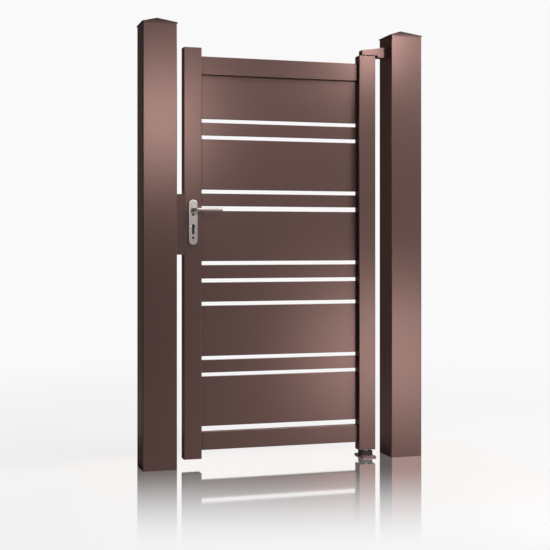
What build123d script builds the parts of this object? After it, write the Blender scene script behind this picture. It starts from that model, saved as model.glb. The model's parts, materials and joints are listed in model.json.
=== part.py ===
"""Pedestrian gate: two square posts and one slatted leaf on a top arm and a ground pivot.

Millimetres. The origin is the middle of the hinge post's foot, on the ground.
X runs to the right as seen from the street, Y away from the street, Z up.
"""

import os
from math import hypot

from build123d import *

os.makedirs("parts", exist_ok=True)

# Gateway
opening_width = 1000.0
hinge_gap = 60.0
latch_gap = 40.0
leaf_height = 1816.0
ground_gap = 33.0
moving_clearance = 5.5
slide_fit = 0.3
running_fit = 0.1

# Posts, their caps and their feet
post_width = 150.0
post_wall = 3.0
post_corner = 4.0
post_above_leaf = 93.0
cap_overhang = 3.0
cap_lip = 4.0
cap_rise = 29.0
cap_tip = 5.0
cap_skirt = 32.0
cap_skirt_wall = 4.0
cap_roof = 6.0
foot_thickness = 12.0
foot_upstand = 80.0
foot_wall = 6.0
anchor_pitch = 96.0
anchor_diameter = 13.0

# Leaf frame
stile_width = 80.0
stile_depth = 56.0
stile_wall = 2.5
stile_corner = 3.0
stile_overrun = 35.0
end_cap_thickness = 3.0
end_cap_skirt = 18.0
end_cap_wall = 3.0
rail_height = 80.0
rail_depth = 30.0
rail_wall = 2.0
rail_recess = 19.0
tenon_length = 14.0
tenon_fit = 0.25

# Boards of the infill, from the top rail down
board_depth = 18.0
board_wall = 1.5
board_recess = 10.0
board_edge = 1.2
web_pitch = 56.0
slot_height = 17.5
lever_slot_height = 21.0
bottom_slot_height = 24.0
top_panel_shortening = 29.0
bottom_panel_shortening = 4.0
slat_height = 56.0
middle_slat_height = 60.0
wide_slat_height = 86.0

# Lock, its plates and its levers
lever_height = 1133.0
plate_width = 40.0
plate_thickness = 6.0
plate_above_lever = 44.0
plate_below_lever = 154.0
plate_edge = 1.5
key_drop = 72.0
key_head_diameter = 17.0
key_slot_width = 10.0
key_slot_drop = 32.0
cutout_margin = 1.0
upper_screw_drop = 22.0
lower_screw_drop = 124.0
screw_diameter = 5.0
screw_head_diameter = 10.0
lever_reach = 122.0
lever_diameter = 15.0
lever_projection = 50.0
lever_bend = 15.0
lever_tip_round = 3.0
collar_diameter = 22.0
collar_length = 7.5
collar_edge = 0.8
spindle_side = 8.0
spindle_grip = 14.0
case_depth = 16.0
case_reach = 62.0
case_above_lever = 34.0
case_below_lever = 126.0
forend_width = 22.0
forend_length = 240.0
forend_thickness = 3.0
bolt_width = 12.0
latch_bolt_height = 20.0
dead_bolt_height = 34.0
bolt_recess = 2.0
bolt_play = 2.0

# Lock keep with its stop lip
keep_height = 266.0
keep_below_lever = 198.0
keep_wall = 3.5
keep_depth = 52.0
lip_overlap = 6.0
lip_thickness = 5.0
keep_edge = 1.5

# Top hinge arm
arm_depth = 40.0
arm_root_rise = 40.0
arm_root_step = 10.5
arm_tip_thickness = 21.0
arm_tip_reach = 25.0
arm_tip_round = 4.0
arm_edge = 2.0
arm_web_round = 2.0
pin_diameter = 16.0
pin_in_arm = 12.0
pin_chamfer = 1.5

# Ground pivot
shoe_width = 68.0
shoe_depth = 112.0
shoe_thickness = 7.0
shoe_corner = 6.0
shoe_edge = 1.5
boss_width = 60.0
boss_depth = 46.0
boss_corner = 8.0
boss_draft = 3.0
boss_edge = 1.5
bearing_diameter = 32.0
pin_in_shoe = 18.0
shoe_hole_pitch = 84.0
shoe_hole_diameter = 9.0
shoe_countersink_diameter = 17.0

# Places worked out from the sizes above
latch_post_x = -(opening_width + post_width)
post_inner_width = post_width - 2 * post_wall
hinge_post_face = -post_width / 2
latch_post_face = hinge_post_face - opening_width
leaf_width = opening_width - hinge_gap - latch_gap
leaf_right = hinge_post_face - hinge_gap
leaf_left = leaf_right - leaf_width
leaf_bottom = ground_gap
leaf_top = leaf_bottom + leaf_height
post_height = leaf_top + post_above_leaf
hinge_stile_x = leaf_right - stile_width / 2
latch_stile_x = leaf_left + stile_width / 2
pivot_x = hinge_stile_x
bush_depth = 0.75 * stile_overrun
pin_in_leaf = end_cap_thickness + bush_depth
rail_y = -stile_depth / 2 + rail_recess + rail_depth / 2
board_y = -stile_depth / 2 + rail_recess + board_recess + board_depth / 2
tenon_left = leaf_left + stile_width - tenon_length
infill_length = leaf_width - 2 * stile_width + 2 * tenon_length
top_rail_z = leaf_top - stile_overrun - rail_height / 2
bottom_rail_z = leaf_bottom + stile_overrun + rail_height / 2
key_height = lever_height - key_drop
lock_middle = (lever_height + key_height) / 2
stile_front = stile_depth / 2
stile_inner_width = stile_width - 2 * stile_wall
stile_inner_depth = stile_depth - 2 * stile_wall
stile_inner_corner = stile_corner - stile_wall / 2

# The five panels share the height that the slats and the slots leave between the rails
infill_height = leaf_height - 2 * (stile_overrun + rail_height)
slats_height = 3 * slat_height + middle_slat_height + wide_slat_height
slots_height = 8 * slot_height + lever_slot_height + bottom_slot_height
panels_height = infill_height - slats_height - slots_height
panel_height = (panels_height + top_panel_shortening + bottom_panel_shortening) / 5

# Name, height and the slot above, from the top rail down
board_rows = (
    ("panel_1", panel_height - top_panel_shortening, 0.0),
    ("slat_1", slat_height, slot_height),
    ("panel_2", panel_height, slot_height),
    ("slat_2", slat_height, slot_height),
    ("panel_3", panel_height, lever_slot_height),
    ("slat_3", middle_slat_height, slot_height),
    ("slat_4", wide_slat_height, slot_height),
    ("panel_4", panel_height, slot_height),
    ("slat_5", slat_height, slot_height),
    ("panel_5", panel_height - bottom_panel_shortening, slot_height),
)


def board_places():
    """Name, height and middle of each board, counted down from the top rail."""
    places = []
    top = top_rail_z - rail_height / 2
    for name, height, gap_above in board_rows:
        top -= gap_above
        places.append((name, height, top - height / 2))
        top -= height
    return places


def save(piece, name):
    """Label a finished piece and write its STEP file."""
    piece.part.label = name
    export_step(piece.part, f"parts/{name}.step")


# Posts


def build_post(name, post_x):
    """Square tube standing on the ground."""
    with BuildPart() as post:
        with BuildSketch(Plane.XY):
            with Locations((post_x, 0)):
                RectangleRounded(post_width, post_width, post_corner)
                RectangleRounded(
                    post_inner_width, post_inner_width, post_corner - post_wall, mode=Mode.SUBTRACT
                )
        extrude(amount=post_height)
    save(post, name)


def build_post_cap(name, post_x):
    """Low pyramid with a thin lip, hollow below, on a skirt that plugs the tube."""
    skirt_width = post_inner_width - 2 * slide_fit
    hollow_width = skirt_width - 2 * cap_skirt_wall
    with BuildPart() as cap:
        with BuildSketch(Plane.XY.offset(post_height - cap_skirt)):
            with Locations((post_x, 0)):
                Rectangle(skirt_width, skirt_width)
        extrude(amount=cap_skirt)
        with BuildSketch(Plane.XY.offset(post_height)):
            with Locations((post_x, 0)):
                RectangleRounded(
                    post_width + 2 * cap_overhang, post_width + 2 * cap_overhang, post_corner
                )
        extrude(amount=cap_lip)
        with BuildSketch(Plane.XY.offset(post_height + cap_lip)):
            with Locations((post_x, 0)):
                Rectangle(post_width + cap_overhang, post_width + cap_overhang)
        with BuildSketch(Plane.XY.offset(post_height + cap_lip + cap_rise)):
            with Locations((post_x, 0)):
                Rectangle(cap_tip, cap_tip)
        loft()
        with BuildSketch(Plane.XY.offset(post_height - cap_skirt)):
            with Locations((post_x, 0)):
                Rectangle(hollow_width, hollow_width)
        extrude(amount=cap_skirt, mode=Mode.SUBTRACT)
        with BuildSketch(Plane.XY.offset(post_height)):
            with Locations((post_x, 0)):
                Rectangle(hollow_width, hollow_width)
        with BuildSketch(Plane.XY.offset(post_height + cap_lip + cap_rise - cap_roof)):
            with Locations((post_x, 0)):
                Rectangle(cap_tip, cap_tip)
        loft(mode=Mode.SUBTRACT)
    save(cap, name)


def build_post_foot(name, post_x):
    """Cast foot inside the tube: a bolted plate with an upstand all round."""
    foot_width = post_inner_width - 2 * slide_fit
    with BuildPart() as foot:
        with BuildSketch(Plane.XY):
            with Locations((post_x, 0)):
                RectangleRounded(foot_width, foot_width, post_corner - post_wall)
        extrude(amount=foot_thickness + foot_upstand)
        with BuildSketch(Plane.XY.offset(foot_thickness)):
            with Locations((post_x, 0)):
                RectangleRounded(
                    foot_width - 2 * foot_wall, foot_width - 2 * foot_wall, foot_wall
                )
        extrude(amount=foot_upstand, mode=Mode.SUBTRACT)
        with Locations((post_x, 0, foot_thickness)):
            with GridLocations(anchor_pitch, anchor_pitch, 2, 2):
                Hole(anchor_diameter / 2, depth=foot_thickness)
    save(foot, name)


for side, side_x in (("hinge", 0.0), ("latch", latch_post_x)):
    build_post(f"{side}_post", side_x)
    build_post_cap(f"{side}_post_cap", side_x)
    build_post_foot(f"{side}_post_foot", side_x)


# Leaf frame


def add_keyhole(margin):
    """Keyhole outline in the sketch being drawn: a round head over a straight slot."""
    with Locations((latch_stile_x, key_height)):
        Circle(key_head_diameter / 2 + margin)
    with Locations((latch_stile_x, key_height - key_slot_drop / 2)):
        SlotCenterToCenter(key_slot_drop, key_slot_width + 2 * margin, rotation=90)


def build_stile(name, stile_x, inner_face, has_lock):
    """Hollow stile with mortises for the rails and boards, and the lock's cut-outs."""
    with BuildPart() as stile:
        with BuildSketch(Plane.XY.offset(leaf_bottom + end_cap_thickness)):
            with Locations((stile_x, 0)):
                RectangleRounded(stile_width, stile_depth, stile_corner)
                RectangleRounded(
                    stile_inner_width, stile_inner_depth, stile_inner_corner, mode=Mode.SUBTRACT
                )
        extrude(amount=leaf_height - 2 * end_cap_thickness)
        with BuildSketch(Plane.YZ.offset(inner_face)):
            for rail_z in (top_rail_z, bottom_rail_z):
                with Locations((rail_y, rail_z)):
                    Rectangle(rail_depth + 2 * tenon_fit, rail_height + 2 * tenon_fit)
            for _, height, middle in board_places():
                with Locations((board_y, middle)):
                    Rectangle(board_depth + 2 * tenon_fit, height + 2 * tenon_fit)
        extrude(amount=1.5 * stile_wall, both=True, mode=Mode.SUBTRACT)
        if has_lock:
            with BuildSketch(Plane.XZ):
                add_keyhole(cutout_margin)
                with Locations((latch_stile_x, lever_height)):
                    Circle(collar_diameter / 2)
            extrude(amount=stile_depth, both=True, mode=Mode.SUBTRACT)
            with BuildSketch(Plane.YZ.offset(leaf_left)):
                with Locations((0, lock_middle)):
                    SlotOverall(
                        forend_length + 2 * tenon_fit, forend_width + 2 * tenon_fit, rotation=90
                    )
            extrude(amount=1.5 * stile_wall, both=True, mode=Mode.SUBTRACT)
    save(stile, name)


build_stile("hinge_stile", hinge_stile_x, leaf_right - stile_width, has_lock=False)
build_stile("latch_stile", latch_stile_x, leaf_left + stile_width, has_lock=True)


def build_end_cap(name, end_z, inward):
    """Push-in cap that closes one end of the latch stile."""
    plug_width = stile_inner_width - 2 * slide_fit
    plug_depth = stile_inner_depth - 2 * slide_fit
    with BuildPart() as cap:
        with BuildSketch(Plane.XY.offset(end_z)):
            with Locations((latch_stile_x, 0)):
                RectangleRounded(stile_width, stile_depth, stile_corner)
        extrude(amount=inward * end_cap_thickness)
        with BuildSketch(Plane.XY.offset(end_z + inward * end_cap_thickness)):
            with Locations((latch_stile_x, 0)):
                RectangleRounded(plug_width, plug_depth, stile_inner_corner)
                Rectangle(
                    plug_width - 2 * end_cap_wall, plug_depth - 2 * end_cap_wall, mode=Mode.SUBTRACT
                )
        extrude(amount=inward * end_cap_skirt)
    save(cap, name)


def build_pivot_bush(name, end_z, inward):
    """Block that closes one end of the hinge stile and turns on its pivot pin."""
    plug_width = stile_inner_width - 2 * slide_fit
    plug_depth = stile_inner_depth - 2 * slide_fit
    with BuildPart() as bush:
        with BuildSketch(Plane.XY.offset(end_z)):
            with Locations((hinge_stile_x, 0)):
                RectangleRounded(stile_width, stile_depth, stile_corner)
        extrude(amount=inward * end_cap_thickness)
        with BuildSketch(Plane.XY.offset(end_z + inward * end_cap_thickness)):
            with Locations((hinge_stile_x, 0)):
                RectangleRounded(plug_width, plug_depth, stile_inner_corner)
        extrude(amount=inward * bush_depth)
        with BuildSketch(Plane.XY.offset(end_z)):
            with Locations((pivot_x, 0)):
                Circle(pin_diameter / 2 + running_fit)
        extrude(amount=inward * pin_in_leaf, mode=Mode.SUBTRACT)
    save(bush, name)


build_end_cap("latch_stile_top_cap", leaf_top, -1)
build_end_cap("latch_stile_bottom_cap", leaf_bottom, 1)
build_pivot_bush("hinge_stile_top_bush", leaf_top, -1)
build_pivot_bush("hinge_stile_bottom_bush", leaf_bottom, 1)


# Rails and boards


def build_rail(name, rail_z):
    """Rectangular tube between the stiles, its ends in their mortises."""
    with BuildPart() as rail:
        with BuildSketch(Plane.YZ.offset(tenon_left)):
            with Locations((rail_y, rail_z)):
                RectangleRounded(rail_depth, rail_height, rail_wall)
                Rectangle(
                    rail_depth - 2 * rail_wall, rail_height - 2 * rail_wall, mode=Mode.SUBTRACT
                )
        extrude(amount=infill_length)
    save(rail, name)


def build_board(name, height, middle):
    """Hollow extruded board with inner webs, its ends in the stiles' mortises."""
    web_count = max(0, round(height / web_pitch) - 1)
    with BuildPart() as board:
        with BuildSketch(Plane.YZ.offset(tenon_left)):
            with Locations((board_y, middle)):
                RectangleRounded(board_depth, height, board_edge)
                Rectangle(
                    board_depth - 2 * board_wall, height - 2 * board_wall, mode=Mode.SUBTRACT
                )
                if web_count:
                    with GridLocations(0, height / (web_count + 1), 1, web_count):
                        Rectangle(board_depth - board_wall, board_wall)
        extrude(amount=infill_length)
    save(board, name)


build_rail("top_rail", top_rail_z)
build_rail("bottom_rail", bottom_rail_z)
for board_name, board_height, board_middle in board_places():
    build_board(board_name, board_height, board_middle)


# Lock in the latch stile

with BuildPart() as mortice_lock:
    with BuildSketch(Plane.YZ.offset(leaf_left)):
        with Locations((0, lock_middle)):
            SlotOverall(forend_length, forend_width, rotation=90)
    extrude(amount=forend_thickness)
    with BuildSketch(Plane.YZ.offset(leaf_left + forend_thickness)):
        with Locations((0, lever_height + (case_above_lever - case_below_lever) / 2)):
            Rectangle(case_depth, case_above_lever + case_below_lever)
    extrude(amount=case_reach - forend_thickness)
    with BuildSketch(Plane.XZ):
        add_keyhole(cutout_margin / 2)
        with Locations((latch_stile_x, lever_height)):
            Circle(hypot(spindle_side, spindle_side) / 2 + running_fit)
    extrude(amount=case_depth, both=True, mode=Mode.SUBTRACT)
    with BuildSketch(Plane.YZ.offset(leaf_left)):
        with Locations((0, lever_height)):
            Rectangle(bolt_width, latch_bolt_height)
        with Locations((0, key_height)):
            Rectangle(bolt_width, dead_bolt_height)
    extrude(amount=bolt_recess, mode=Mode.SUBTRACT)
save(mortice_lock, "mortice_lock")

with BuildPart() as front_lock_plate:
    with BuildSketch(Plane.XZ.offset(stile_front)):
        with Locations((latch_stile_x, lever_height + (plate_above_lever - plate_below_lever) / 2)):
            SlotOverall(plate_above_lever + plate_below_lever, plate_width, rotation=90)
    extrude(amount=plate_thickness)
    fillet(front_lock_plate.faces().sort_by(Axis.Y)[0].edges(), plate_edge)
    with BuildSketch(Plane.XZ.offset(stile_front)):
        add_keyhole(0.0)
        with Locations((latch_stile_x, lever_height)):
            Circle(collar_diameter / 2 + slide_fit)
    extrude(amount=plate_thickness, mode=Mode.SUBTRACT)
    for screw_drop in (upper_screw_drop, lower_screw_drop):
        with Locations(Plane.XZ.offset(stile_front + plate_thickness)):
            with Locations((latch_stile_x, lever_height - screw_drop)):
                CounterSinkHole(screw_diameter / 2, screw_head_diameter / 2, depth=plate_thickness)
save(front_lock_plate, "front_lock_plate")

with BuildPart() as back_lock_plate:
    mirror(front_lock_plate.part, about=Plane.XZ)
save(back_lock_plate, "back_lock_plate")

# Levers and their spindle

grip_y = -(stile_front + lever_projection)

with BuildPart() as front_lever:
    with BuildSketch(Plane.XZ.offset(stile_front + slide_fit)):
        with Locations((latch_stile_x, lever_height)):
            Circle(collar_diameter / 2)
    extrude(amount=collar_length)
    fillet(front_lever.faces().sort_by(Axis.Y)[0].edges(), collar_edge)
    with BuildLine(Plane.XY.offset(lever_height)) as lever_path:
        FilletPolyline(
            (latch_stile_x, -stile_front - slide_fit),
            (latch_stile_x, grip_y),
            (latch_stile_x + lever_reach, grip_y),
            radius=lever_bend,
        )
    with BuildSketch(Plane(origin=lever_path.line @ 0, z_dir=lever_path.line % 0)):
        Circle(lever_diameter / 2)
    sweep()
    fillet(front_lever.faces().sort_by(Axis.X)[-1].edges(), lever_tip_round)
    with BuildSketch(Plane.XZ.offset(stile_front + slide_fit)):
        with Locations((latch_stile_x, lever_height)):
            Rectangle(spindle_side + 2 * running_fit, spindle_side + 2 * running_fit)
    extrude(amount=spindle_grip, mode=Mode.SUBTRACT)
save(front_lever, "front_lever")

with BuildPart() as back_lever:
    mirror(front_lever.part, about=Plane.XZ)
save(back_lever, "back_lever")

with BuildPart() as spindle:
    with BuildSketch(Plane.XZ):
        with Locations((latch_stile_x, lever_height)):
            Rectangle(spindle_side, spindle_side)
    extrude(amount=stile_front + spindle_grip, both=True)
save(spindle, "spindle")

# Lock keep on the latch post

keep_bottom = lever_height - keep_below_lever
keep_face = leaf_left - moving_clearance
lip_back = -(stile_front + moving_clearance)
lip_front = lip_back - lip_thickness
lip_end = leaf_left + lip_overlap
keep_back = lip_front + keep_depth

with BuildPart() as lock_keep:
    with BuildSketch(Plane.XY.offset(keep_bottom)):
        with BuildLine():
            Polyline(
                (latch_post_face, lip_front),
                (lip_end, lip_front),
                (lip_end, lip_back),
                (keep_face, lip_back),
                (keep_face, keep_back),
                (latch_post_face, keep_back),
                close=True,
            )
        make_face()
    extrude(amount=keep_height)
    fillet(lock_keep.edges().filter_by(Axis.Z).group_by(Axis.X)[-1], keep_edge)
    with BuildSketch(Plane.XY.offset(keep_bottom + keep_wall)):
        with BuildLine():
            Polyline(
                (latch_post_face, lip_front + keep_wall),
                (keep_face - keep_wall, lip_front + keep_wall),
                (keep_face - keep_wall, keep_back - keep_wall),
                (latch_post_face, keep_back - keep_wall),
                close=True,
            )
        make_face()
    extrude(amount=keep_height - 2 * keep_wall, mode=Mode.SUBTRACT)
    with BuildSketch(Plane.YZ.offset(keep_face)):
        with Locations((0, lever_height)):
            Rectangle(bolt_width + bolt_play, latch_bolt_height + 2 * bolt_play)
        with Locations((0, key_height)):
            Rectangle(bolt_width + bolt_play, dead_bolt_height + 2 * bolt_play)
    extrude(amount=-2 * keep_wall, mode=Mode.SUBTRACT)
save(lock_keep, "lock_keep")

# Top hinge arm and its pin

arm_underside = leaf_top + moving_clearance
arm_tip_x = pivot_x - arm_tip_reach
stile_sweep = hypot(stile_width / 2, stile_depth / 2)
arm_root_x = pivot_x + stile_sweep + moving_clearance
arm_root_bottom = arm_underside - arm_root_step

with BuildPart() as top_hinge_arm:
    with BuildSketch(Plane.XZ) as arm_side:
        with BuildLine():
            Polyline(
                (hinge_post_face, arm_root_bottom),
                (hinge_post_face, arm_underside + arm_root_rise),
                (arm_tip_x, arm_underside + arm_tip_thickness),
                (arm_tip_x, arm_underside),
                (arm_root_x, arm_underside),
                (arm_root_x, arm_root_bottom),
                close=True,
            )
        make_face()
    extrude(amount=arm_depth / 2, both=True)
    fillet(top_hinge_arm.edges().filter_by(Axis.Z).group_by(Axis.X)[0], arm_tip_round)
    fillet(top_hinge_arm.edges().filter_by(Axis.Y).group_by(Axis.X)[-2], arm_web_round)
    arm_top = top_hinge_arm.faces().sort_by(Axis.Z)[-1]
    fillet(arm_top.edges().sort_by(Axis.X)[:-1], arm_edge)
    with Locations(Plane.XY.offset(arm_underside)):
        with Locations((pivot_x, 0)):
            Cylinder(
                pin_diameter / 2 + running_fit,
                pin_in_arm,
                align=(Align.CENTER, Align.CENTER, Align.MIN),
                mode=Mode.SUBTRACT,
            )
save(top_hinge_arm, "top_hinge_arm")

with BuildPart() as top_pivot_pin:
    with BuildSketch(Plane.XY.offset(leaf_top - pin_in_leaf)):
        with Locations((pivot_x, 0)):
            Circle(pin_diameter / 2)
    extrude(amount=pin_in_leaf + moving_clearance + pin_in_arm)
    chamfer(top_pivot_pin.edges().sort_by(Axis.Z)[0], pin_chamfer)
save(top_pivot_pin, "top_pivot_pin")

# Ground pivot and its pin

boss_top = leaf_bottom - moving_clearance

with BuildPart() as ground_pivot:
    with BuildSketch(Plane.XY):
        with Locations((pivot_x, 0)):
            RectangleRounded(shoe_width, shoe_depth, shoe_corner)
    extrude(amount=shoe_thickness)
    fillet(ground_pivot.faces().sort_by(Axis.Z)[-1].edges(), shoe_edge)
    with BuildSketch(Plane.XY.offset(shoe_thickness)):
        with Locations((pivot_x, 0)):
            RectangleRounded(boss_width, boss_depth, boss_corner)
    extrude(amount=boss_top - shoe_thickness, taper=boss_draft)
    fillet(ground_pivot.faces().sort_by(Axis.Z)[-1].edges(), boss_edge)
    with Locations((pivot_x, 0, shoe_thickness)):
        with GridLocations(0, shoe_hole_pitch, 1, 2):
            CounterSinkHole(shoe_hole_diameter / 2, shoe_countersink_diameter / 2, depth=shoe_thickness)
    with BuildSketch(Plane.XY.offset(boss_top)):
        with Locations((pivot_x, 0)):
            Circle(pin_diameter / 2 + running_fit)
    extrude(amount=-pin_in_shoe, mode=Mode.SUBTRACT)
save(ground_pivot, "ground_pivot")

with BuildPart() as ground_pivot_pin:
    with BuildSketch(Plane.XY.offset(boss_top - pin_in_shoe)):
        with Locations((pivot_x, 0)):
            Circle(pin_diameter / 2)
    extrude(amount=pin_in_shoe + leaf_bottom - boss_top + pin_in_leaf)
    chamfer(ground_pivot_pin.edges().sort_by(Axis.Z)[-1], pin_chamfer)
    with BuildSketch(Plane.XY.offset(boss_top)):
        with Locations((pivot_x, 0)):
            Circle(bearing_diameter / 2)
    extrude(amount=leaf_bottom - boss_top - slide_fit)
save(ground_pivot_pin, "ground_pivot_pin")
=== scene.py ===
"""Looks of the pedestrian gate: coats, metals, fasteners, floor, light and camera."""

import json
import math
from collections import namedtuple

import bpy
from bpy.props import FloatProperty, FloatVectorProperty, PointerProperty
from mathutils import Matrix, Vector


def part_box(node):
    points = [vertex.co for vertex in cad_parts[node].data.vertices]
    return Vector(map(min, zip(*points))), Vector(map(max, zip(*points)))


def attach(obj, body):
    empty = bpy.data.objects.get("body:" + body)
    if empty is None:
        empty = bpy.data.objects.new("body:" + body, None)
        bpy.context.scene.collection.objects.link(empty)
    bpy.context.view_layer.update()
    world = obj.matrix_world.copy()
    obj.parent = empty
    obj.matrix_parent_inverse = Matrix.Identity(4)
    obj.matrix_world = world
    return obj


bl_info = {
    "name": "Pedestrian gate",
    "version": (1, 0, 0),
    "blender": (4, 5, 0),
    "location": "View3D > Sidebar > Gate",
    "description": "Dresses the CAD gate with coats, metals and fasteners, and sets its studio",
    "category": "Object",
}

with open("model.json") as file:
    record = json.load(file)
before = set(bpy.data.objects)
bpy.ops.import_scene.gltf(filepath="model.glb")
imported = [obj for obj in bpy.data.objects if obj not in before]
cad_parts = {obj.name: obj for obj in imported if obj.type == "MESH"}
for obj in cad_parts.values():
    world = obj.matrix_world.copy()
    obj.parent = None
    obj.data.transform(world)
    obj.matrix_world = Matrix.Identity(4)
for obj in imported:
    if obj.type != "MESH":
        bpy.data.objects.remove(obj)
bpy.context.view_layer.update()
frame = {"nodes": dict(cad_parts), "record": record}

POST_NODES = ("hinge_post", "latch_post", "top_hinge_arm")
EDGE_NODES = (
    "latch_stile",
    "hinge_stile_top_bush",
    "hinge_stile_bottom_bush",
    "latch_stile_top_cap",
    "latch_stile_bottom_cap",
)
BOARD_NODES = tuple(f"{kind}_{number}" for kind in ("panel", "slat") for number in range(1, 6))
INFILL_NODES = ("hinge_stile", "top_rail", "bottom_rail", *BOARD_NODES)
CASTING_NODES = ("lock_keep", "hinge_post_cap", "latch_post_cap")
PIVOT_NODES = ("ground_pivot",)
FOOT_NODES = ("hinge_post_foot", "latch_post_foot")
PLATE_NODES = ("front_lock_plate", "back_lock_plate")
LEVER_NODES = ("front_lever", "back_lever")
LOCK_NODES = ("mortice_lock",)
STEEL_NODES = ("spindle", "top_pivot_pin", "ground_pivot_pin")

# Turns that set a screw's face to one side
FACING_FRONT = Matrix.Rotation(math.radians(90.0), 4, "X")
FACING_BACK = Matrix.Rotation(math.radians(-90.0), 4, "X")
FACING_LEFT = Matrix.Rotation(math.radians(-90.0), 4, "Y")
FACING_UP = Matrix.Identity(4)

# Lengths in the record are in millimetres
MILLIMETRE = 0.001

# Make of the screws
HEAD_SIDES = 40
SOCKET_SIDES = 6
SOCKET_SHARE = 0.65
RIM_SEGMENTS = 2
SMOOTH_ANGLE = math.radians(30.0)
UNDERSIDE = -0.9

# Scales that draw the brush lines out along one axis
ALONG_X = (0.03, 1.0, 1.0)
ALONG_Z = (1.0, 1.0, 0.03)

# Detail of the noise in each finish
DRIFT_DETAIL = 3.0
PEEL_DETAIL = 2.0
SAND_DETAIL = 4.0
BRUSH_DETAIL = 3.0
SPANGLE_DETAIL = 5.0
PATCH_DETAIL = 4.0

# Span of the noise over which the roughness changes
NOISE_SPAN = (0.3, 0.7)

# Openness over which the coat goes from the painted shade of its inside corners to its own tone
PAINTED_SHADE_SPAN = (0.4, 0.95)
PAINTED_SHADE_SAMPLES = 8

# Distances on the floor over which it pales, and over which its gloss ends behind the gate
PALE_SPAN = (1.5, 5.0)
REAR_SPAN = (0.1, 0.4)

# Parts of a direction over which the room goes from dim to pale, or from left to right
RIGHT_SPAN = (-0.02, 0.05)
BACK_SPAN = (0.2, 0.5)
LOW_SPAN = (0.25, 0.4)
FRONT_SPAN = (-0.2, 0.1)
HIGH_SPAN = (0.3, 0.45)
ROOM_SPAN = (-0.6, 0.3)
ROOM_LEFT = 0.2

Lamp = namedtuple("Lamp", "name place target width height power")
LAMPS = (
    Lamp("lamp_key", (2.2, -2.0, 3.2), (-0.5, 0.0, 1.0), 1.6, 1.6, 150.0),
    Lamp("lamp_high", (0.9, -1.1, 4.5), (-0.5, 0.0, 1.0), 0.8, 0.8, 165.0),
    Lamp("lamp_left", (-0.875, -1.554, 1.69), (-1.15, -0.075, 1.53), 0.45, 0.6, 7.2),
    Lamp("lamp_top_right", (0.17, -0.90, 2.08), (-0.14, -0.05, 1.91), 0.15, 0.4, 3.1),
    Lamp("lamp_low_right", (0.49, -1.554, 0.32), (-0.10, -0.075, 0.475), 0.8, 0.85, 9.2),
    Lamp("lamp_back_left", (-3.4, 5.6, 1.2), (-0.6, 0.0, 1.2), 1.5, 5.0, 15.0),
    Lamp("lamp_back_right", (3.0, 4.0, 2.6), (-0.6, 0.0, 1.0), 1.5, 1.5, 180.0),
)


def colour_property(name, description, default):
    """Opaque colour for a property group."""
    return FloatVectorProperty(
        name=name,
        description=description,
        subtype="COLOR",
        size=4,
        min=0.0,
        max=1.0,
        default=(*default, 1.0),
    )


def length_property(name, description, default):
    """Length in metres for a property group."""
    return FloatProperty(
        name=name,
        description=description,
        unit="LENGTH",
        subtype="DISTANCE",
        min=0.0,
        precision=5,
        default=default,
    )


def place_property(name, description, default):
    """Place along an axis, in metres, for a property group."""
    return FloatProperty(name=name, description=description, unit="LENGTH", default=default)


def share_property(name, description, default):
    """Share between nought and one for a property group."""
    return FloatProperty(
        name=name, description=description, subtype="FACTOR", min=0.0, max=1.0, default=default
    )


class GateCoatSettings(bpy.types.PropertyGroup):
    """Brown powder coat of the posts, the leaf and the castings."""

    tone: colour_property("Coat tone", "Brown of the powder coat", (0.126, 0.0755, 0.0680))
    shade: colour_property(
        "Coat shade", "Deeper brown that drifts through the coat", (0.112, 0.067, 0.0600)
    )
    sheen: colour_property(
        "Coat sheen", "Tint of the gloss seen at a low angle", (0.40, 0.22, 0.17)
    )
    metallic: share_property("Coat metallic", "Share of metal flake in the coat", 0.6)
    smooth: share_property("Coat roughness, smooth", "Roughness where the coat flowed well", 0.31)
    dull: share_property("Coat roughness, dull", "Roughness where the coat is drier", 0.36)
    # Painted shade: reach and darkest colour of the shade painted into the leaf's inside corners
    corner: length_property(
        "Corner reach", "How far the deeper tone of inside corners reaches", 0.016
    )
    corner_painted_shade_tone: colour_property(
        "Corner tone", "Deepest brown of inside corners", (0.012, 0.007, 0.006)
    )
    drift: length_property("Tone drift", "Width of the slow changes of tone", 0.45)
    peel: length_property("Orange peel", "Width of the dimples in the coat", 0.0022)
    peel_depth: length_property("Orange peel depth", "Depth of the dimples in the coat", 0.00004)
    # Painted shade: the castings' tones are the coat made darker, to paint the shade on the post
    # caps and the lock keep; the sand grain is real
    cast_tone: colour_property(
        "Casting tone", "Brown of the coated castings", (0.082, 0.051, 0.045)
    )
    cast_shade: colour_property(
        "Casting shade", "Deeper brown of the coated castings", (0.066, 0.041, 0.036)
    )
    cast_smooth: share_property(
        "Casting roughness, smooth", "Roughness of the castings' crests", 0.42
    )
    cast_dull: share_property("Casting roughness, dull", "Roughness of the castings' hollows", 0.55)
    sand: length_property("Sand grain", "Width of the sand texture of the castings", 0.0012)
    sand_depth: length_property(
        "Sand grain depth", "Depth of the sand texture of the castings", 0.00012
    )


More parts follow.
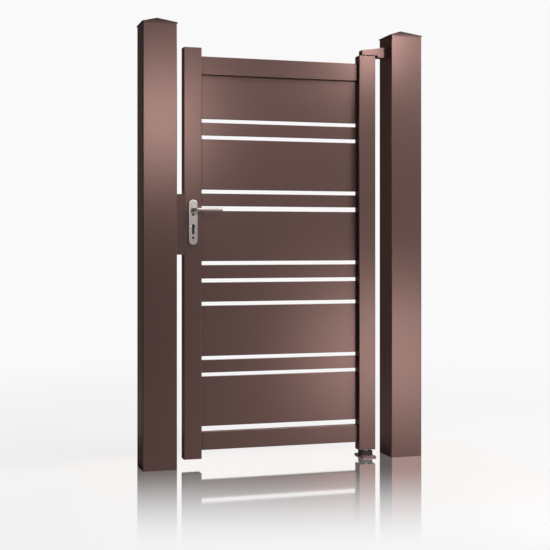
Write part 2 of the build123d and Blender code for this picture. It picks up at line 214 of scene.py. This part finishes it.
class GateMetalSettings(bpy.types.PropertyGroup):
    """Uncoated metals of the lock, the pins, the feet and the fasteners."""

    satin_tone: colour_property(
        "Satin tone", "Brushed metal of the lock plates", (0.62, 0.565, 0.545)
    )
    satin_shade: colour_property("Satin shade", "Darker brush lines", (0.52, 0.47, 0.452))
    # Painted shade: the levers are the plates' metal made darker, against the light that falls on
    # their tops; their brush lines are real
    lever_tone_painted_shade: colour_property("Lever tone", "Brushed metal of the levers", (0.36, 0.32, 0.31))
    lever_brush_lines_painted_shade: colour_property(
        "Lever shade", "Darker brush lines of the levers", (0.31, 0.276, 0.266)
    )
    lever_smooth: share_property(
        "Lever roughness, smooth", "Roughness of the levers' bright brush lines", 0.50
    )
    lever_dull: share_property(
        "Lever roughness, dull", "Roughness of the levers' dark brush lines", 0.60
    )
    satin_smooth: share_property(
        "Satin roughness, smooth", "Roughness along bright brush lines", 0.26
    )
    satin_dull: share_property("Satin roughness, dull", "Roughness along dark brush lines", 0.40)
    brush: length_property("Brush line", "Width of a brush line", 0.0004)
    brush_depth: length_property("Brush line depth", "Depth of a brush line", 0.00002)
    steel_tone: colour_property("Steel tone", "Zinc on the steel pieces", (0.52, 0.53, 0.55))
    steel_shade: colour_property("Steel shade", "Duller spangles of the zinc", (0.40, 0.41, 0.42))
    steel_smooth: share_property("Steel roughness, smooth", "Roughness of bright spangles", 0.28)
    steel_dull: share_property("Steel roughness, dull", "Roughness of dull spangles", 0.42)
    spangle: length_property("Spangle", "Width of a zinc spangle", 0.004)
    forend_thickness: length_property("Forend thickness", "Thickness of the lock's forend", 0.003)
    seam: length_property("Seam", "Width of the change from one finish to the next", 0.0004)
    pivot_plate: length_property("Pivot plate", "Height of the ground pivot's coated plate", 0.0072)
    # Painted shade: the pivot's bearing block is painted near black for the shade under the stile
    pivot_block_painted_shade: colour_property(
        "Pivot block tone", "Blackened bearing block of the ground pivot", (0.022, 0.016, 0.014)
    )
    case_tone: colour_property(
        "Lock case tone", "Oiled steel of the lock case inside the stile", (0.020, 0.018, 0.017)
    )
    black_tone: colour_property(
        "Screw tone", "Blackened steel of the screws", (0.014, 0.012, 0.011)
    )
    black_shade: colour_property(
        "Screw shade", "Worn patches of the blackened steel", (0.030, 0.026, 0.024)
    )
    black_gloss: share_property("Screw gloss", "Gloss level of the blackened steel", 0.25)
    cast_tone: colour_property(
        "Aluminium tone", "Bare cast aluminium of the feet", (0.60, 0.60, 0.60)
    )
    cast_shade: colour_property(
        "Aluminium shade", "Duller patches of the cast aluminium", (0.45, 0.45, 0.46)
    )


class GateFastenerSettings(bpy.types.PropertyGroup):
    """Countersunk screws of the lock and of the ground pivot."""

    screw_head: length_property("Screw head", "Diameter of the lock screws' heads", 0.0112)
    screw_depth: length_property(
        "Screw head depth", "Depth of the lock screws' countersunk heads", 0.0024
    )
    screw_shank: length_property("Screw shank", "Diameter of the lock screws' shanks", 0.0046)
    screw_reach: length_property("Screw reach", "Length of the lock screws' shanks", 0.006)
    screw_socket: length_property(
        "Screw socket", "Width across the corners of the lock screws' sockets", 0.0036
    )
    plate_screw_upper: length_property(
        "Upper plate screw", "From the top of a lock plate to its upper screw", 0.066
    )
    plate_screw_lower: length_property(
        "Lower plate screw", "From the foot of a lock plate to its lower screw", 0.030
    )
    plate_screw_proud: length_property(
        "Plate screw proud", "Height of the plate screws' heads", 0.0006
    )
    forend_screw_inset: length_property(
        "Forend screw inset", "From an end of the forend to its screw", 0.012
    )
    forend_screw_proud: length_property(
        "Forend screw proud", "Height of the forend screws' heads", 0.0006
    )
    anchor_head: length_property("Anchor head", "Diameter of the ground anchors' heads", 0.0164)
    anchor_depth: length_property(
        "Anchor head depth", "Depth of the ground anchors' countersunk heads", 0.0044
    )
    anchor_shank: length_property("Anchor shank", "Diameter of the ground anchors' shanks", 0.0084)
    anchor_reach: length_property(
        "Anchor reach", "Length of the ground anchors' shanks above the ground", 0.002
    )
    anchor_socket: length_property(
        "Anchor socket", "Width across the corners of the ground anchors' sockets", 0.0062
    )
    anchor_height: length_property("Anchor height", "Height of the ground anchors' faces", 0.0068)
    rim: length_property("Fastener rim", "Rounding of the fasteners' edges", 0.0002)


class GateStageSettings(bpy.types.PropertyGroup):
    """Floor, light and camera."""

    floor_tone: colour_property("Floor tone", "Pale floor", (0.50, 0.497, 0.494))
    floor_gloss: colour_property(
        "Floor gloss tone", "Tint of the floor's gloss", (0.99, 0.955, 0.94)
    )
    floor_size: length_property("Floor size", "Side of the floor", 80.0)
    floor_roughness: share_property("Floor roughness", "Roughness of the floor's gloss", 0.06)
    floor_mirror: share_property("Floor gloss", "Share of gloss on the floor beside the posts", 0.9)
    floor_pale: share_property(
        "Floor paleness", "Share of backdrop white in the floor near the gate", 0.88
    )
    floor_near: place_property(
        "Gloss near end", "Where the gloss is gone, along the camera's turn", -1.72
    )
    floor_far: place_property(
        "Gloss far end", "Where the gloss is whole, along the camera's turn", -0.25
    )
    floor_left: place_property("Gloss left", "Left end of the glossy patch", -1.35)
    floor_right: place_property("Gloss right", "Right end of the glossy patch", 0.25)
    floor_margin: length_property(
        "Gloss margin", "Width over which the glossy patch fades at its ends", 0.35
    )
    gloss_start: share_property(
        "Gloss start", "Slant of the view at which the floor begins to shine", 0.66
    )
    gloss_full: share_property(
        "Gloss full", "Slant of the view at which the floor shines fully", 0.75
    )
    backdrop: FloatProperty(
        name="Backdrop", description="Brightness of the pale backdrop", default=0.95
    )
    ambient: FloatProperty(
        name="Ambient", description="Brightness of the studio's dim surroundings", default=0.02
    )
    camera_place: FloatVectorProperty(
        name="Camera place",
        description="Where the camera stands",
        subtype="XYZ",
        default=(-2.0679, -5.0053, 0.9894),
    )
    camera_turn: FloatProperty(
        name="Camera turn",
        description="Turn of the level camera to the right",
        subtype="ANGLE",
        default=math.radians(16.638),
    )
    camera_lens: FloatProperty(
        name="Camera lens", description="Focal length in millimetres", default=75.411
    )
    camera_shift: FloatVectorProperty(
        name="Camera shift", description="Shift of the picture", size=2, default=(-0.0147, -0.05946)
    )


def object_noise(tree, width, detail, stretch=(1.0, 1.0, 1.0)):
    """Noise in the object's own coordinates, its grains about one width across."""
    coordinates = tree.nodes.new("ShaderNodeTexCoord")
    mapping = tree.nodes.new("ShaderNodeMapping")
    mapping.inputs["Scale"].default_value = stretch
    noise = tree.nodes.new("ShaderNodeTexNoise")
    noise.inputs["Scale"].default_value = 1.0 / width
    noise.inputs["Detail"].default_value = detail
    tree.links.new(coordinates.outputs["Object"], mapping.inputs["Vector"])
    tree.links.new(mapping.outputs["Vector"], noise.inputs["Vector"])
    return noise.outputs["Fac"]


def new_finish(name, metallic):
    """Material with its node tree and its shader."""
    material = bpy.data.materials.new(name)
    material.use_nodes = True
    tree = material.node_tree
    shader = tree.nodes["Principled BSDF"]
    shader.inputs["Metallic"].default_value = metallic
    return material, tree, shader


def ramp(tree, value, start, end, low=0.0, high=1.0, course="SMOOTHSTEP"):
    """Step from low to high while a value goes from start to end."""
    step = tree.nodes.new("ShaderNodeMapRange")
    step.interpolation_type = course
    limits = {"From Min": start, "From Max": end, "To Min": low, "To Max": high}
    for socket, number in limits.items():
        step.inputs[socket].default_value = number
    tree.links.new(value, step.inputs["Value"])
    return step.outputs["Result"]


def combine(tree, operation, first, second):
    """Result of a math step on two values."""
    step = tree.nodes.new("ShaderNodeMath")
    step.operation = operation
    tree.links.new(first, step.inputs[0])
    tree.links.new(second, step.inputs[1])
    return step.outputs["Value"]


def mix_colours(tree, factor):
    """Mix of two colours by a factor: its two inputs and its output."""
    mix = tree.nodes.new("ShaderNodeMix")
    mix.data_type = "RGBA"
    tree.links.new(factor, mix.inputs["Factor"])
    first, second = (socket for socket in mix.inputs if socket.type == "RGBA")
    result = next(socket for socket in mix.outputs if socket.type == "RGBA")
    return first, second, result


def colour_by(tree, shader, pattern, tone, shade):
    """Let the base colour wander between two tones."""
    first, second, result = mix_colours(tree, pattern)
    first.default_value = tone
    second.default_value = shade
    tree.links.new(result, shader.inputs["Base Color"])


def paint_corner_shade(tree, shader, reach, tone):
    """Paint shade into the base colour in inside corners, darker the nearer the neighbouring pieces
    are.
    """
    corner = tree.nodes.new("ShaderNodeAmbientOcclusion")
    corner.samples = PAINTED_SHADE_SAMPLES
    corner.inputs["Distance"].default_value = reach
    even = shader.inputs["Base Color"].links[0].from_socket
    first, second, result = mix_colours(tree, ramp(tree, corner.outputs["AO"], *PAINTED_SHADE_SPAN))
    first.default_value = tone
    tree.links.new(even, second)
    tree.links.new(result, shader.inputs["Base Color"])


def roughen_by(tree, shader, pattern, smooth, dull):
    """Let the roughness wander between two values."""
    roughness = ramp(tree, pattern, *NOISE_SPAN, smooth, dull, "LINEAR")
    tree.links.new(roughness, shader.inputs["Roughness"])


def emboss_by(tree, shader, pattern, depth):
    """Give the surface a fine relief."""
    bump = tree.nodes.new("ShaderNodeBump")
    bump.inputs["Distance"].default_value = depth
    tree.links.new(pattern, bump.inputs["Height"])
    tree.links.new(bump.outputs["Normal"], shader.inputs["Normal"])


def coat_finish(name, coat, corners=False):
    """Brown powder coat with a slow drift of tone and an orange-peel relief; with corners set,
    shade is painted into its inside corners.
    """
    material, tree, shader = new_finish(name, coat.metallic)
    shader.inputs["Specular Tint"].default_value = coat.sheen
    colour_by(tree, shader, object_noise(tree, coat.drift, DRIFT_DETAIL), coat.tone, coat.shade)
    # Painted shade in the inside corners
    if corners:
        paint_corner_shade(tree, shader, coat.corner, coat.corner_painted_shade_tone)
    peel = object_noise(tree, coat.peel, PEEL_DETAIL)
    roughen_by(tree, shader, peel, coat.smooth, coat.dull)
    emboss_by(tree, shader, peel, coat.peel_depth)
    return material


def sand_grain(tree, shader, coat):
    """Give a casting the roughness and relief of its sand, and return the grain."""
    sand = object_noise(tree, coat.sand, SAND_DETAIL)
    roughen_by(tree, shader, sand, coat.cast_smooth, coat.cast_dull)
    emboss_by(tree, shader, sand, coat.sand_depth)
    return sand


def casting_finish_painted_shade(name, coat):
    """Coated sand casting, grainier than the extrusions, its darker tone painted shade."""
    material, tree, shader = new_finish(name, coat.metallic)
    shader.inputs["Specular Tint"].default_value = coat.sheen
    colour_by(tree, shader, sand_grain(tree, shader, coat), coat.cast_tone, coat.cast_shade)
    return material


def satin_finish(name, metal, tone, shade, stretch, smooth, dull):
    """Metal brushed along the axis that the stretch makes long."""
    material, tree, shader = new_finish(name, 1.0)
    brush = object_noise(tree, metal.brush, BRUSH_DETAIL, stretch)
    colour_by(tree, shader, brush, tone, shade)
    roughen_by(tree, shader, brush, smooth, dull)
    emboss_by(tree, shader, brush, metal.brush_depth)
    return material


def steel_finish(name, metal):
    """Zinc-plated steel."""
    material, tree, shader = new_finish(name, 1.0)
    spangle = object_noise(tree, metal.spangle, SPANGLE_DETAIL)
    colour_by(tree, shader, spangle, metal.steel_tone, metal.steel_shade)
    roughen_by(tree, shader, spangle, metal.steel_smooth, metal.steel_dull)
    return material


def along(tree, axis):
    """Place along one axis of the object."""
    place = tree.nodes.new("ShaderNodeTexCoord")
    axes = tree.nodes.new("ShaderNodeSeparateXYZ")
    tree.links.new(place.outputs["Object"], axes.inputs["Vector"])
    return axes.outputs[axis]


def lock_finish(name, metal, forend_back):
    """Zinc on the forend and oiled dark steel on the case behind it."""
    material, tree, shader = new_finish(name, 1.0)
    behind = ramp(tree, along(tree, "X"), forend_back - metal.seam, forend_back)
    colour_by(tree, shader, behind, metal.steel_tone, metal.case_tone)
    spangle = object_noise(tree, metal.spangle, SPANGLE_DETAIL)
    roughen_by(tree, shader, spangle, metal.steel_smooth, metal.steel_dull)
    return material


def pivot_finish_painted_shade(name, metal, coat):
    """Coated ground plate, with the bearing block above it painted near black as the shade under
    the stile.
    """
    material, tree, shader = new_finish(name, coat.metallic)
    # Painted shade above the plate
    painted_shade_above_plate = ramp(tree, along(tree, "Z"), metal.pivot_plate, metal.pivot_plate + metal.seam)
    colour_by(tree, shader, painted_shade_above_plate, coat.tone, metal.pivot_block_painted_shade)
    sand_grain(tree, shader, coat)
    return material


def screw_finish(name, metal):
    """Blackened steel."""
    material, tree, shader = new_finish(name, 0.0)
    shader.inputs["Specular IOR Level"].default_value = metal.black_gloss
    patch = object_noise(tree, metal.spangle, PATCH_DETAIL)
    colour_by(tree, shader, patch, metal.black_tone, metal.black_shade)
    roughen_by(tree, shader, patch, metal.steel_smooth, metal.steel_dull)
    return material


def bare_casting_finish(name, metal, coat):
    """Bare sand-cast aluminium."""
    material, tree, shader = new_finish(name, 1.0)
    colour_by(tree, shader, sand_grain(tree, shader, coat), metal.cast_tone, metal.cast_shade)
    return material


def dress(node_names, material):
    """Put one material in every slot of these CAD nodes."""
    for name in node_names:
        node = frame["nodes"][name]
        for slot in node.material_slots:
            slot.material = material


def screw_steel(metal):
    """The screws' blackened steel, made once."""
    return bpy.data.materials.get("black_steel") or screw_finish("black_steel", metal)


def apply_modifier(piece, kind, **values):
    """Add a modifier, set it and apply it."""
    bpy.context.view_layer.objects.active = piece
    bpy.ops.object.modifier_add(type=kind)
    modifier = piece.modifiers[-1]
    for key, value in values.items():
        setattr(modifier, key, value)
    bpy.ops.object.modifier_apply(modifier=modifier.name)


def cut_socket(piece, width, depth):
    """Sink a six-sided socket into the top of a head whose face is at Z 0."""
    bpy.ops.object.select_all(action="DESELECT")
    bpy.ops.mesh.primitive_cylinder_add(vertices=SOCKET_SIDES, radius=width / 2, depth=2 * depth)
    cutter = bpy.context.active_object
    bpy.ops.object.select_all(action="DESELECT")
    piece.select_set(True)
    apply_modifier(piece, "BOOLEAN", operation="DIFFERENCE", object=cutter, solver="EXACT")
    bpy.data.objects.remove(cutter, do_unlink=True)


def countersunk_screw(head, depth, shank, reach, socket, rim):
    """Countersunk screw with a six-sided socket, its face at Z 0 and its shank below."""
    bpy.ops.object.select_all(action="DESELECT")
    bpy.ops.mesh.primitive_cone_add(
        vertices=HEAD_SIDES,
        radius1=shank / 2,
        radius2=head / 2,
        depth=depth,
        location=(0.0, 0.0, -depth / 2),
    )
    screw = bpy.context.active_object
    bpy.ops.object.transform_apply(location=True, rotation=True, scale=True)
    for face in screw.data.polygons:
        face.select = face.normal.z < UNDERSIDE
    bpy.ops.object.mode_set(mode="EDIT")
    bpy.ops.mesh.select_mode(type="FACE")
    bpy.ops.mesh.extrude_region_move(TRANSFORM_OT_translate={"value": (0.0, 0.0, -reach)})
    bpy.ops.object.mode_set(mode="OBJECT")
    cut_socket(screw, socket, depth * SOCKET_SHARE)
    apply_modifier(screw, "BEVEL", width=rim, segments=RIM_SEGMENTS, limit_method="ANGLE")
    bpy.ops.object.select_all(action="DESELECT")
    screw.select_set(True)
    bpy.ops.object.shade_smooth_by_angle(angle=SMOOTH_ANGLE)
    return screw


def set_copy(master, name, place, turn, body, material):
    """Copy a piece with its mesh, set the copy in its place and let it ride on a body."""
    bpy.ops.object.select_all(action="DESELECT")
    master.select_set(True)
    bpy.context.view_layer.objects.active = master
    bpy.ops.object.duplicate(linked=False)
    piece = bpy.context.active_object
    piece.name = name
    piece.matrix_world = Matrix.Translation(place) @ turn
    bpy.ops.object.transform_apply(location=True, rotation=True, scale=True)
    piece.data.materials.clear()
    piece.data.materials.append(material)
    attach(piece, body)


class GATE_OT_coat_posts(bpy.types.Operator):
    """Coat the posts and the hinge arm"""

    bl_idname = "gate.coat_posts"
    bl_label = "Coat posts"

    def execute(self, context):
        coat = context.scene.gate_coat
        dress(POST_NODES, coat_finish("post_coat", coat))
        return {"FINISHED"}


class GATE_OT_coat_leaf(bpy.types.Operator):
    """Coat the leaf's frame and boards"""

    bl_idname = "gate.coat_leaf"
    bl_label = "Coat leaf"

    def execute(self, context):
        coat = context.scene.gate_coat
        dress(EDGE_NODES, coat_finish("edge_coat", coat))
        # The infill's coat carries painted shade in its inside corners
        dress(INFILL_NODES, coat_finish("infill_coat_painted_shade", coat, corners=True))
        return {"FINISHED"}


class GATE_OT_coat_castings(bpy.types.Operator):
    """Coat the caps, the lock keep and the ground pivot"""

    bl_idname = "gate.coat_castings"
    bl_label = "Coat castings"

    def execute(self, context):
        coat = context.scene.gate_coat
        # The caps and the keep are painted darker as their shade
        dress(CASTING_NODES, casting_finish_painted_shade("casting_coat_painted_shade", coat))
        dress(PIVOT_NODES, pivot_finish_painted_shade("pivot_coat_painted_shade", context.scene.gate_metal, coat))
        return {"FINISHED"}


class GATE_OT_finish_metal(bpy.types.Operator):
    """Finish the lock, the levers, the pins and the posts' feet"""

    bl_idname = "gate.finish_metal"
    bl_label = "Finish bare metal"

    def execute(self, context):
        metal = context.scene.gate_metal
        plate = satin_finish(
            "plate_metal",
            metal,
            metal.satin_tone,
            metal.satin_shade,
            ALONG_Z,
            metal.satin_smooth,
            metal.satin_dull,
        )
        dress(PLATE_NODES, plate)
        # The levers' darker metal is painted shade
        lever = satin_finish(
            "lever_metal_painted_shade",
            metal,
            metal.lever_tone_painted_shade,
            metal.lever_brush_lines_painted_shade,
            ALONG_X,
            metal.lever_smooth,
            metal.lever_dull,
        )
        dress(LEVER_NODES, lever)
        dress(STEEL_NODES, steel_finish("zinc_steel", metal))
        low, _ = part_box("mortice_lock")
        dress(LOCK_NODES, lock_finish("lock_case", metal, low.x + metal.forend_thickness))
        dress(FOOT_NODES, bare_casting_finish("cast_aluminium", metal, context.scene.gate_coat))
        return {"FINISHED"}


class GATE_OT_fit_lock_screws(bpy.types.Operator):
    """Fit the countersunk screws of both lock plates and of the lock's forend"""

    bl_idname = "gate.fit_lock_screws"
    bl_label = "Fit lock screws"

    def execute(self, context):
        fastener = context.scene.gate_fastener
        steel = screw_steel(context.scene.gate_metal)
        master = countersunk_screw(
            fastener.screw_head,
            fastener.screw_depth,
            fastener.screw_shank,
            fastener.screw_reach,
            fastener.screw_socket,
            fastener.rim,
        )
        for side, turn in (("front", FACING_FRONT), ("back", FACING_BACK)):
            low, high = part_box(f"{side}_lock_plate")
            proud = fastener.plate_screw_proud
            face_y = low.y - proud if side == "front" else high.y + proud
            middle_x = (low.x + high.x) / 2
            heights = {
                "upper": high.z - fastener.plate_screw_upper,
                "lower": low.z + fastener.plate_screw_lower,
            }
            for level, height in heights.items():
                place = Vector((middle_x, face_y, height))
                set_copy(master, f"{side}_plate_screw_{level}", place, turn, "leaf", steel)
        low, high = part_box("mortice_lock")
        forend_x = low.x - fastener.forend_screw_proud
        inset = fastener.forend_screw_inset
        heights = {"upper": high.z - inset, "lower": low.z + inset}
        for level, height in heights.items():
            place = Vector((forend_x, 0.0, height))
            set_copy(master, f"forend_screw_{level}", place, FACING_LEFT, "leaf", steel)
        bpy.data.objects.remove(master, do_unlink=True)
        return {"FINISHED"}


class GATE_OT_fit_ground_anchors(bpy.types.Operator):
    """Fit the two countersunk anchors of the ground pivot"""

    bl_idname = "gate.fit_ground_anchors"
    bl_label = "Fit ground anchors"

    def execute(self, context):
        fastener = context.scene.gate_fastener
        steel = screw_steel(context.scene.gate_metal)
        master = countersunk_screw(
            fastener.anchor_head,
            fastener.anchor_depth,
            fastener.anchor_shank,
            fastener.anchor_reach,
            fastener.anchor_socket,
            fastener.rim,
        )
        pattern = next(m for m in frame["record"]["mounts"] if m["name"] == "ground_pivot_anchors")
        middle = Vector(pattern["pos_m"])
        reach = pattern["dims"]["spacing_y_mm"] * MILLIMETRE / 2
        for side, offset in (("front", -reach), ("back", reach)):
            place = Vector((middle.x, middle.y + offset, fastener.anchor_height))
            set_copy(master, f"ground_anchor_{side}", place, FACING_UP, "posts", steel)
        bpy.data.objects.remove(master, do_unlink=True)
        return {"FINISHED"}


class GATE_OT_set_stage(bpy.types.Operator):
    """Lay the floor, hang the lamps and place the camera"""

    bl_idname = "gate.set_stage"
    bl_label = "Set stage"

    def execute(self, context):
        stage = context.scene.gate_stage
        self.lay_floor(stage)
        self.light_room(context, stage)
        self.hang_lamps()
        self.place_camera(context, stage)
        context.scene.view_settings.view_transform = "Standard"
        return {"FINISHED"}

    def lay_floor(self, stage):
        """Pale floor that mirrors the gate at a low angle, in a patch that fades on every side."""
        bpy.ops.object.select_all(action="DESELECT")
        bpy.ops.mesh.primitive_plane_add(size=stage.floor_size)
        floor = bpy.context.active_object
        floor.name = "floor"
        material, tree, shader = new_finish("floor_pale", 0.0)
        shader.inputs["Base Color"].default_value = stage.floor_tone
        shader.inputs["Roughness"].default_value = 1.0
        shader.inputs["Specular IOR Level"].default_value = 0.0
        glow = tree.nodes.new("ShaderNodeEmission")
        glow.inputs["Strength"].default_value = stage.backdrop
        gloss = tree.nodes.new("ShaderNodeBsdfGlossy")
        gloss.inputs["Color"].default_value = stage.floor_gloss
        gloss.inputs["Roughness"].default_value = stage.floor_roughness
        seen = tree.nodes.new("ShaderNodeLightPath").outputs["Is Camera Ray"]
        surface = shader.outputs["BSDF"]
        for share, layer in (
            (self.floor_paleness(tree, stage), glow.outputs["Emission"]),
            (self.floor_mirror(tree, stage), gloss.outputs["BSDF"]),
        ):
            mix = tree.nodes.new("ShaderNodeMixShader")
            tree.links.new(combine(tree, "MULTIPLY", share, seen), mix.inputs[0])
            tree.links.new(surface, mix.inputs[1])
            tree.links.new(layer, mix.inputs[2])
            surface = mix.outputs["Shader"]
        tree.links.new(surface, tree.nodes["Material Output"].inputs["Surface"])
        floor.data.materials.append(material)

    def floor_paleness(self, tree, stage):
        """Share of backdrop white in the floor, whole far from the gate."""
        place = tree.nodes.new("ShaderNodeTexCoord")
        distance = tree.nodes.new("ShaderNodeVectorMath")
        distance.operation = "LENGTH"
        tree.links.new(place.outputs["Object"], distance.inputs[0])
        return ramp(tree, distance.outputs["Value"], *PALE_SPAN, stage.floor_pale, 1.0)

    def floor_mirror(self, tree, stage):
        """Share of gloss in the floor."""
        place = tree.nodes.new("ShaderNodeTexCoord")
        depth = tree.nodes.new("ShaderNodeVectorMath")
        depth.operation = "DOT_PRODUCT"
        turn = stage.camera_turn
        depth.inputs[1].default_value = (math.sin(turn), math.cos(turn), 0.0)
        tree.links.new(place.outputs["Object"], depth.inputs[0])
        slant = tree.nodes.new("ShaderNodeLayerWeight")
        across = along(tree, "X")
        left, right, margin = stage.floor_left, stage.floor_right, stage.floor_margin
        limits = (
            ramp(tree, along(tree, "Y"), *REAR_SPAN, 1.0, 0.0),
            ramp(tree, slant.outputs["Facing"], stage.gloss_start, stage.gloss_full),
            ramp(tree, across, left, left - margin, 1.0, 0.0),
            ramp(tree, across, right, right + margin, 1.0, 0.0),
        )
        near, far = stage.floor_near, stage.floor_far
        mirror = ramp(tree, depth.outputs["Value"], near, far, 0.0, stage.floor_mirror)
        for limit in limits:
            mirror = combine(tree, "MULTIPLY", mirror, limit)
        return mirror

    def light_room(self, context, stage):
        """Pale backdrop for the camera and the floor's gloss, in a dim room."""
        world = bpy.data.worlds.new("studio")
        context.scene.world = world
        world.use_nodes = True
        tree = world.node_tree
        background = tree.nodes["Background"]
        background.inputs["Color"].default_value = (1.0, 1.0, 1.0, 1.0)
        direction = tree.nodes.new("ShaderNodeTexCoord")
        axes = tree.nodes.new("ShaderNodeSeparateXYZ")
        tree.links.new(direction.outputs["Generated"], axes.inputs["Vector"])
        x, y, z = (axes.outputs[axis] for axis in "XYZ")
        behind = combine(tree, "MULTIPLY", ramp(tree, x, *RIGHT_SPAN), ramp(tree, y, *BACK_SPAN))
        behind = combine(tree, "MULTIPLY", behind, ramp(tree, z, *LOW_SPAN, 1.0, 0.0))
        forward = ramp(tree, y, *FRONT_SPAN, 1.0, 0.0)
        overhead = combine(tree, "MULTIPLY", forward, ramp(tree, z, *HIGH_SPAN))
        mirrored = combine(tree, "MAXIMUM", behind, overhead)
        rays = tree.nodes.new("ShaderNodeLightPath").outputs
        mirrored = combine(tree, "MULTIPLY", mirrored, rays["Is Glossy Ray"])
        direct = combine(tree, "MAXIMUM", rays["Is Camera Ray"], rays["Is Transmission Ray"])
        room = ramp(tree, x, *ROOM_SPAN, ROOM_LEFT * stage.ambient, stage.ambient)
        level = tree.nodes.new("ShaderNodeMix")
        level.inputs["B"].default_value = stage.backdrop
        tree.links.new(combine(tree, "MAXIMUM", mirrored, direct), level.inputs["Factor"])
        tree.links.new(room, level.inputs["A"])
        tree.links.new(level.outputs["Result"], background.inputs["Strength"])

    def hang_lamps(self):
        """Soft lamps, each turned to its target."""
        for lamp in LAMPS:
            bpy.ops.object.light_add(type="AREA", location=lamp.place)
            light = bpy.context.active_object
            light.name = lamp.name
            light.data.shape = "ELLIPSE"
            light.data.size = lamp.width
            light.data.size_y = lamp.height
            light.data.energy = lamp.power
            light.visible_camera = False
            aim = Vector(lamp.target) - Vector(lamp.place)
            light.rotation_euler = aim.to_track_quat("-Z", "Y").to_euler()

    def place_camera(self, context, stage):
        """Level camera at the picture's place."""
        bpy.ops.object.camera_add(
            location=stage.camera_place, rotation=(math.radians(90.0), 0.0, -stage.camera_turn)
        )
        camera = bpy.context.active_object
        camera.data.lens = stage.camera_lens
        camera.data.shift_x, camera.data.shift_y = stage.camera_shift
        context.scene.camera = camera


OPERATORS = (
    GATE_OT_coat_posts,
    GATE_OT_coat_leaf,
    GATE_OT_coat_castings,
    GATE_OT_finish_metal,
    GATE_OT_fit_lock_screws,
    GATE_OT_fit_ground_anchors,
    GATE_OT_set_stage,
)


class GATE_PT_panel(bpy.types.Panel):
    """Steps that dress the gate"""

    bl_idname = "GATE_PT_panel"
    bl_label = "Pedestrian gate"
    bl_space_type = "VIEW_3D"
    bl_region_type = "UI"
    bl_category = "Gate"

    def draw(self, context):
        for operator in OPERATORS:
            self.layout.operator(operator.bl_idname)


SETTINGS = {
    "gate_coat": GateCoatSettings,
    "gate_metal": GateMetalSettings,
    "gate_fastener": GateFastenerSettings,
    "gate_stage": GateStageSettings,
}
CLASSES = (*SETTINGS.values(), *OPERATORS, GATE_PT_panel)


def register():
    for cls in CLASSES:
        bpy.utils.register_class(cls)
    for name, cls in SETTINGS.items():
        setattr(bpy.types.Scene, name, PointerProperty(type=cls))


def unregister():
    for name in SETTINGS:
        delattr(bpy.types.Scene, name)
    for cls in reversed(CLASSES):
        bpy.utils.unregister_class(cls)


def main():
    register()
    bpy.ops.gate.coat_posts()
    bpy.ops.gate.coat_leaf()
    bpy.ops.gate.coat_castings()
    bpy.ops.gate.finish_metal()
    bpy.ops.gate.fit_lock_screws()
    bpy.ops.gate.fit_ground_anchors()
    bpy.ops.gate.set_stage()


if __name__ == "__main__":
    main()
